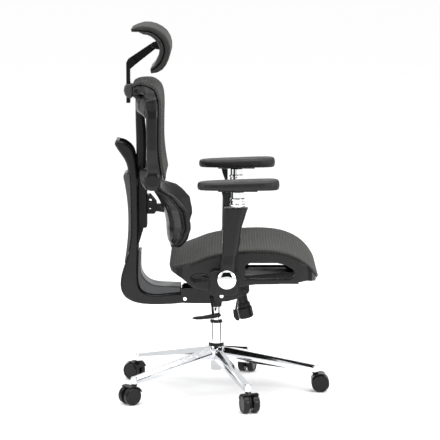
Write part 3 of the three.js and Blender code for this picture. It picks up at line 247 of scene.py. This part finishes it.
FINISHES = {
    "polished_aluminium": bright_metal("polished_aluminium", (0.70, 0.71, 0.73), 0.08, 140.0, 0.0004),
    "chrome": bright_metal("chrome", (0.88, 0.89, 0.90), 0.045, 90.0, 0.0001),
    "black_plastic": moulded_plastic("black_plastic", (0.003, 0.003, 0.003), 0.32, specular=0.22),
    "charcoal_plastic": moulded_plastic("charcoal_plastic", (0.0055, 0.0055, 0.006), 0.30, specular=0.28),
    "grey_plastic": moulded_plastic("grey_plastic", (0.034, 0.035, 0.037), 0.33, 700.0, 0.00006, 1.2, 0.5),
    "black_steel": powder_coat("black_steel", (0.004, 0.004, 0.0045)),
    "wheel_plastic": moulded_plastic("wheel_plastic", (0.004, 0.004, 0.004), 0.30, specular=0.25),
    "mesh_fabric": woven_mesh("mesh_fabric", (0.005, 0.005, 0.0045), (0.034, 0.034, 0.031), 0.009, 0.0018),
    "black_leather": grained_leather("black_leather", (0.0065, 0.0065, 0.007), 0.42),
    "black_urethane": grained_leather("black_urethane", (0.005, 0.005, 0.0055), 0.42, 900.0),
}


# ------------------------------------------------------------------ surfaces
def add_piece(name, points, faces, body, finish, stands_for=(), uv=None):
    """A new mesh piece at the origin, smooth shaded, riding on a body and standing for CAD nodes."""
    mesh = bpy.data.meshes.new(name)
    mesh.from_pydata(np.asarray(points, float).reshape(-1, 3), [], faces)
    mesh.validate()
    mesh.update()
    mesh.shade_smooth()
    mesh.materials.append(FINISHES[finish])
    if uv is not None:
        corner = np.zeros(len(mesh.loops), np.int32)
        mesh.loops.foreach_get("vertex_index", corner)
        layer = mesh.uv_layers.new(name="cloth")
        layer.data.foreach_set("uv", np.asarray(uv, float).reshape(-1, 2)[corner].ravel())
    piece = bpy.data.objects.new(name, mesh)
    bpy.context.scene.collection.objects.link(piece)
    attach(piece, body)
    if stands_for:
        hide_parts(*stands_for)
    return piece


def grid_faces(rows, columns, round_columns=False, round_rows=False):
    """Four-sided faces over a grid of points, joined round where asked."""
    last_row = rows if round_rows else rows - 1
    last_column = columns if round_columns else columns - 1
    r, c = np.meshgrid(np.arange(last_row), np.arange(last_column), indexing="ij")
    r1, c1 = (r + 1) % rows, (c + 1) % columns
    return np.stack([r * columns + c, r * columns + c1, r1 * columns + c1, r1 * columns + c], -1).reshape(-1, 4)


def smooth_line(knots, count):
    """A smooth line through 2-D knots, in equal steps: centripetal Catmull-Rom, with the first and last
    knot's neighbours mirrored beyond the ends. Returns the points and the unit tangents."""
    p = np.asarray(knots, float)
    p = np.vstack([2 * p[0] - p[1], p, 2 * p[-1] - p[-2]])
    dt = np.maximum(np.linalg.norm(np.diff(p, axis=0), axis=1) ** 0.5, 1e-9)
    p0, p1, p2, p3 = p[:-3], p[1:-2], p[2:-1], p[3:]
    d0, d1, d2 = dt[:-2, None], dt[1:-1, None], dt[2:, None]
    m1 = ((p1 - p0) / d0 - (p2 - p0) / (d0 + d1) + (p2 - p1) / d1) * d1
    m2 = ((p2 - p1) / d1 - (p3 - p1) / (d1 + d2) + (p3 - p2) / d2) * d1
    t = np.linspace(0, 1, 40)[:, None, None]
    dense = (2 * t**3 - 3 * t**2 + 1) * p1 + (t**3 - 2 * t**2 + t) * m1 + (3 * t**2 - 2 * t**3) * p2 \
        + (t**3 - t**2) * m2
    dense = dense.transpose(1, 0, 2).reshape(-1, 2)
    run = np.concatenate([[0], np.cumsum(np.linalg.norm(np.diff(dense, axis=0), axis=1))])
    at = np.linspace(0, run[-1], count)
    line = np.stack([np.interp(at, run, dense[:, 0]), np.interp(at, run, dense[:, 1])], -1)
    tangent = np.gradient(line, axis=0)
    return line, tangent / np.linalg.norm(tangent, axis=1)[:, None]


def eased(s, pairs):
    """A value through (position, value) pairs, with a level stretch at each."""
    x, y = np.array(pairs, float).T
    k = np.clip(np.searchsorted(x, s, side="right") - 1, 0, len(x) - 2)
    t = np.clip((s - x[k]) / (x[k + 1] - x[k]), 0, 1)
    return y[k] + (y[k + 1] - y[k]) * t * t * (3 - 2 * t)


def merged_copy(node_name, dissolve=1.0):
    """The CAD node's corners merged and its flat faces joined, as a new mesh."""
    source = frame["nodes"][node_name].data
    at = corners(node_name)
    triangles = np.zeros(len(source.loops), np.int32)
    source.loops.foreach_get("vertex_index", triangles)
    keys, index = np.unique(np.round(at / 2e-6).astype(np.int64), axis=0, return_inverse=True)
    merged = np.zeros((len(keys), 3))
    merged[index.ravel()] = at
    faces = index.ravel()[triangles].reshape(-1, 3)
    whole = (faces[:, 0] != faces[:, 1]) & (faces[:, 1] != faces[:, 2]) & (faces[:, 2] != faces[:, 0])
    mesh = bpy.data.meshes.new(node_name)
    mesh.from_pydata(merged, [], faces[whole].tolist())
    shape = bmesh.new()
    shape.from_mesh(mesh)
    if dissolve:
        bmesh.ops.dissolve_limit(shape, angle_limit=math.radians(dissolve), verts=shape.verts, edges=shape.edges)
    shape.to_mesh(mesh)
    shape.free()
    return mesh


def softened(node_name, width=1.0 * MM, steps=2, turn=32, finish=None):
    """The CAD node's shape with every edge that turns by more than `turn` degrees rounded to `width`."""
    mesh = merged_copy(node_name)
    mesh.shade_smooth()
    mesh.set_sharp_from_angle(angle=math.radians(turn))
    finish = finish or SLOT_OF[node_name]
    mesh.materials.append(FINISHES[finish])
    piece = bpy.data.objects.new(f"{node_name}_finished", mesh)
    bpy.context.scene.collection.objects.link(piece)
    edges = piece.modifiers.new("rounded_edges", "BEVEL")
    edges.width = width
    edges.segments = steps
    edges.limit_method = "ANGLE"
    edges.angle_limit = math.radians(turn)
    edges.harden_normals = True
    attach(piece, BODY_OF[node_name])
    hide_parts(node_name)
    return piece


ROUNDED = {
    "base_star": 2.0, "hub_ring": 1.0, "cylinder_tube": 0.8, "tube_collar": 0.8, "gas_piston": 0.6,
    "mechanism_housing": 1.5, "recline_pivot_pin": 1.0, "seat_pivot_pin": 1.0, "back_bracket": 0.8,
    "tension_tube": 0.8, "tension_knob": 1.2, "height_lever": 1.2, "tilt_lever": 1.2,
    "seat_tray": 1.5, "spine_bolt": 1.0, "back_rail": 1.5, "lumbar_bracket": 0.8,
    "headrest_collar": 3.0, "headrest_post": 1.2, "headrest_arm": 1.5,
}
for side in SIDES:
    ROUNDED |= {f"arm_bracket_{side}": 2.5, f"arm_post_{side}": 0.8, f"arm_button_{side}": 1.0,
                f"arm_pad_base_{side}": 0.8, f"arm_cap_{side}": 0.8}
for k in CASTERS:
    ROUNDED |= {f"caster_fork_{k}": 1.2, f"caster_wheel_left_{k}": 1.0, f"caster_wheel_right_{k}": 1.0}


# ------------------------------------------------------------------ moulded bodies
TAUBIN_IN = 0.5
TAUBIN_OUT = -0.53


def relaxed(mesh, rounds):
    """Rounds every edge and keeps the volume: each corner moves by 0.5 towards its neighbours' mean, then by
    0.53 back out, as often as asked."""
    count = len(mesh.vertices)
    at = np.zeros(count * 3)
    mesh.vertices.foreach_get("co", at)
    at = at.reshape(-1, 3)
    ends = np.zeros(len(mesh.edges) * 2, np.int32)
    mesh.edges.foreach_get("vertices", ends)
    a, b = ends.reshape(-1, 2).T
    degree = np.maximum(np.bincount(np.concatenate([a, b]), minlength=count), 1)[:, None]
    for step in range(2 * rounds):
        mean = np.stack([np.bincount(a, at[b, k], count) + np.bincount(b, at[a, k], count) for k in range(3)], -1)
        share = TAUBIN_OUT if step % 2 else TAUBIN_IN
        at = at + share * (mean / degree - at)
    mesh.vertices.foreach_set("co", at.ravel())
    mesh.update()


def moulded(node_name, voxel, rounds):
    """The CAD node as one smooth moulding: an even skin over its shape, with every edge rounded."""
    finish = SLOT_OF[node_name]
    piece = bpy.data.objects.new(f"{node_name}_finished", merged_copy(node_name, dissolve=0))
    bpy.context.scene.collection.objects.link(piece)
    skin = piece.modifiers.new("skin", "REMESH")
    skin.mode = "VOXEL"
    skin.voxel_size = voxel
    depsgraph = bpy.context.evaluated_depsgraph_get()
    mesh = bpy.data.meshes.new_from_object(piece.evaluated_get(depsgraph))
    piece.modifiers.clear()
    piece.data = mesh
    relaxed(mesh, rounds)
    mesh.shade_smooth()
    mesh.materials.clear()
    mesh.materials.append(FINISHES[finish])
    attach(piece, BODY_OF[node_name])
    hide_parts(node_name)
    return piece


MOULDED = {
    "back_frame": (2.6 * MM, 40), "headrest_shell": (2.0 * MM, 22), "lumbar_shell": (2.2 * MM, 45),
    "seat_frame": (2.6 * MM, 5), "spine_shell": (2.6 * MM, 6), "spine_foot_cover": (2.0 * MM, 6),
    "spine_rear_cover": (1.8 * MM, 4),
}
CUSHIONS = {"headrest_pad": (2.4 * MM, 45), "lumbar_pad": (2.4 * MM, 60)}
for side in SIDES:
    MOULDED[f"arm_sleeve_{side}"] = (1.6 * MM, 7)
    CUSHIONS[f"arm_pad_{side}"] = (2.0 * MM, 30)

DONE = set()
for name, (voxel, rounds) in MOULDED.items():
    moulded(name, voxel, rounds)
    DONE.add(name)
for name, (voxel, rounds) in CUSHIONS.items():
    moulded(name, voxel, rounds)
    DONE.add(name)


# ------------------------------------------------------------------ mesh panels
def column_frame(points_mm):
    """Points given in millimetres from the gas column's axis, as metres in the row's frame."""
    return np.asarray(points_mm, float) * MM + np.array([COLUMN_Y, 0.0])


SEAT_SEAM = column_frame([
    (146, 440), (135, 436), (111, 441), (70, 454), (20, 472), (-58, 486), (-120, 490), (-166, 489), (-212, 482),
    (-252, 466), (-282, 444), (-303, 419), (-314, 400)])
SEAT_PLAN = np.array([
    (-334, 0), (-318, 145), (-313, 180), (-306, 216), (-295, 237), (-280, 247), (-262, 250), (57, 250), (80, 247),
    (102, 235), (121, 221), (135, 205), (144, 183), (147, 160), (148, 0)], float)
BACK_SEAM = column_frame([
    (163, 702), (168, 728), (173, 760), (177, 805), (177, 865), (176, 925), (178, 952), (186, 976), (203, 990),
    (228, 995), (248, 992), (261, 984)])
BACK_HALF_WIDTH = [(0, 0.196), (0.12, 0.206), (0.3, 0.214), (0.55, 0.214), (0.7, 0.200), (0.82, 0.160),
                   (0.92, 0.112), (1, 0.084)]


COLUMN_CROWDING = 0.97  # how far the columns gather towards both edges: 0 is even, 1 is fully


def stretched_panel(name, seam, half_width, up, height, sag, roll, rows, columns, node_name):
    """A mesh panel between two rails. Row s follows the seam and column v runs from side to side:
    point = seam(s) + up-normal(s) * lift(s, v) + sag(s, x), with x = v * half_width(s). The lift is the height,
    and falls round a quarter circle of radius `roll` at every edge. Its UV is the distance along both ways."""
    line, tangent = smooth_line(seam, rows)
    normal = np.stack([-tangent[:, 1], tangent[:, 0]], -1) * up
    run = np.concatenate([[0], np.cumsum(np.linalg.norm(np.diff(line, axis=0), axis=1))])
    s = run / run[-1]
    half = half_width(s, line)
    # v = sin(c * w) / sin(c) for w from -1 to 1, with c the crowding times pi/2.
    crowding = np.pi / 2 * COLUMN_CROWDING
    v = np.sin(crowding * np.linspace(-1, 1, columns)) / np.sin(crowding)
    x = half[:, None] * v[None, :]
    edge = np.minimum(half[:, None] - np.abs(x), np.minimum(run, run[-1] - run)[:, None])
    turn = np.clip(1 - edge / roll, 0, 1)
    lift = height * np.sqrt(np.clip(1 - turn**2, 0, 1)) + 0.0004
    points = np.zeros((rows, columns, 3))
    points[..., 0] = x
    points[..., 1:] = line[:, None, :] + normal[:, None, :] * lift[..., None]
    points[..., 1:] += sag(s[:, None], x, half[:, None])
    uv = np.stack([x, np.broadcast_to(run[:, None], x.shape)], -1)
    faces = grid_faces(rows, columns)
    a, b, c = (points.reshape(-1, 3)[faces[len(faces) // 2, k]] for k in (0, 1, 2))
    across_up = np.dot(np.cross(b - a, c - a)[1:], normal[rows // 2])
    if across_up < 0:
        faces = faces[:, ::-1]
    piece = add_piece(name, points, faces.tolist(), BODY_OF[node_name], "mesh_fabric", [node_name], uv)
    thick = piece.modifiers.new("thickness", "SOLIDIFY")
    thick.thickness = 0.0012
    thick.offset = -1.0
    return piece


def inside(x, half, share=0.84):
    """How far a panel sags at x: 1 - (x / (share * half))^2, and nothing beyond."""
    return np.clip(1 - (x / (share * half)) ** 2, 0, 1)


def seat_sag(s, x, half):
    """Up to 9 mm down in the middle, inside the rim."""
    along = np.sin(np.pi * np.clip((s - 0.085) / 0.83, 0, 1))
    down = -0.009 * along * inside(x, half)
    return np.stack([np.zeros_like(down), down], -1)


def back_sag(s, x, half):
    """Up to 24 mm towards the rear in the middle."""
    back = 0.024 * np.sin(np.pi * np.clip(s * 1.25, 0, 1)) * inside(x, half)
    return np.stack([back, np.zeros_like(back)], -1)


def seat_half_width(s, line):
    """The seat's plan at each station, a millimetre inside its rim."""
    return np.interp((line[:, 0] - COLUMN_Y) / MM, SEAT_PLAN[:, 0], SEAT_PLAN[:, 1]) * MM - 0.001


def back_half_width(s, line):
    """The back's half-width at each station, with the lower corners rounded to 30 mm."""
    corner = 0.030
    fall = np.clip(1 - s * 0.42 / corner, 0, 1)
    return eased(s, BACK_HALF_WIDTH) - 0.001 - corner * (1 - np.sqrt(1 - fall**2))


stretched_panel("seat_panel", SEAT_SEAM, seat_half_width, -1.0, 0.0064, seat_sag, 0.007, 150, 121,
                "seat_mesh")
stretched_panel("back_panel", BACK_SEAM, back_half_width, 1.0, 0.0084, back_sag, 0.009, 130, 111,
                "back_mesh")
DONE |= {"seat_mesh", "back_mesh"}

# The pins that show only as dark heads.
BLACKENED = {"seat_pivot_pin": "black_steel"}
for name, width in ROUNDED.items():
    if name not in DONE:
        softened(name, width * MM, finish=BLACKENED.get(name))


# ------------------------------------------------------------------ stage
FLOOR_SIZE = 160.0
# Each card is (x, y, foot, width, height, turn).
DARK_CARDS = [
    (-0.24, -0.62, 0.03, 0.34, 0.5, 0.3), (-0.24, 0.67, 0.03, 0.34, 0.5, -0.3),
    (-2.6, 0.0, 0.72, 3.2, 2.1, math.pi / 2),
    (3.2, -1.9, 0.02, 0.9, 2.6, 1.2), (3.2, 1.9, 0.02, 0.9, 2.6, -1.2)]


def floor():
    """A wide pale floor."""
    half = FLOOR_SIZE / 2
    mesh = bpy.data.meshes.new("floor")
    mesh.from_pydata([(-half, -half, 0), (half, -half, 0), (half, half, 0), (-half, half, 0)], [], [(0, 1, 2, 3)])
    pale = new_finish("pale_floor", (0.985, 0.985, 0.985), 0.9, specular=0.0)
    mesh.materials.append(pale)
    piece = bpy.data.objects.new("floor", mesh)
    bpy.context.scene.collection.objects.link(piece)


def area_light(name, at, toward, size, power):
    """A soft square lamp."""
    lamp = bpy.data.lights.new(name, "AREA")
    lamp.size = size
    lamp.energy = power
    holder = bpy.data.objects.new(name, lamp)
    holder.location = at
    holder.rotation_mode = "QUATERNION"
    holder.rotation_quaternion = (Vector(toward) - Vector(at)).to_track_quat("-Z", "Y")
    holder.visible_camera = False
    bpy.context.scene.collection.objects.link(holder)


def dark_card(name, at, width, height, turn):
    """An upright black card beside the object, out of the camera's sight: bright metal mirrors it as a dark line."""
    mesh = bpy.data.meshes.new(name)
    across = Vector((math.cos(turn), math.sin(turn), 0)) * (width / 2)
    foot = Vector(at)
    head = foot + Vector((0, 0, height))
    mesh.from_pydata([foot - across, foot + across, head + across, head - across], [], [(0, 1, 2, 3)])
    mesh.materials.append(new_finish(name, (0.004, 0.004, 0.004), 0.9, specular=0.0))
    card = bpy.data.objects.new(name, mesh)
    card.visible_camera = False
    card.visible_shadow = False
    card.visible_diffuse = False
    bpy.context.scene.collection.objects.link(card)


def studio():
    """A white room's even light, with a large lamp overhead and one on each side."""
    world = bpy.data.worlds.new("white_room")
    world.use_nodes = True
    world.node_tree.nodes["Background"].inputs["Color"].default_value = (1, 1, 1, 1)
    world.node_tree.nodes["Background"].inputs["Strength"].default_value = 1.0
    bpy.context.scene.world = world
    bpy.context.scene.view_settings.view_transform = "Standard"
    for k, (x, y, foot, width, height, turn) in enumerate(DARK_CARDS):
        dark_card(f"dark_card_{k + 1}", (x, y, foot), width, height, turn)
    target = (0, 0, 0.6)
    area_light("overhead", (-0.4, -0.3, 3.4), target, 3.0, 110)
    area_light("front_side", (-3.0, -3.2, 2.2), target, 2.2, 90)
    area_light("back_side", (-1.6, 3.4, 2.4), target, 2.0, 60)


CAMERA_DISTANCE = 7.4
CAMERA_HEIGHT = 1.604
CAMERA_PITCH = 0.1408
LENS = 192.3


def camera():
    """A long lens on the sitter's right-hand side, level with the armrests' upper side and looking slightly down."""
    data = bpy.data.cameras.new("camera")
    data.lens = LENS
    data.clip_end = 60
    holder = bpy.data.objects.new("camera", data)
    holder.location = (-CAMERA_DISTANCE, COLUMN_Y - 0.012, CAMERA_HEIGHT)
    holder.rotation_mode = "QUATERNION"
    look = Vector((math.cos(CAMERA_PITCH), 0, -math.sin(CAMERA_PITCH)))
    holder.rotation_quaternion = look.to_track_quat("-Z", "Y")
    bpy.context.scene.collection.objects.link(holder)
    bpy.context.scene.camera = holder


floor()
studio()
camera()
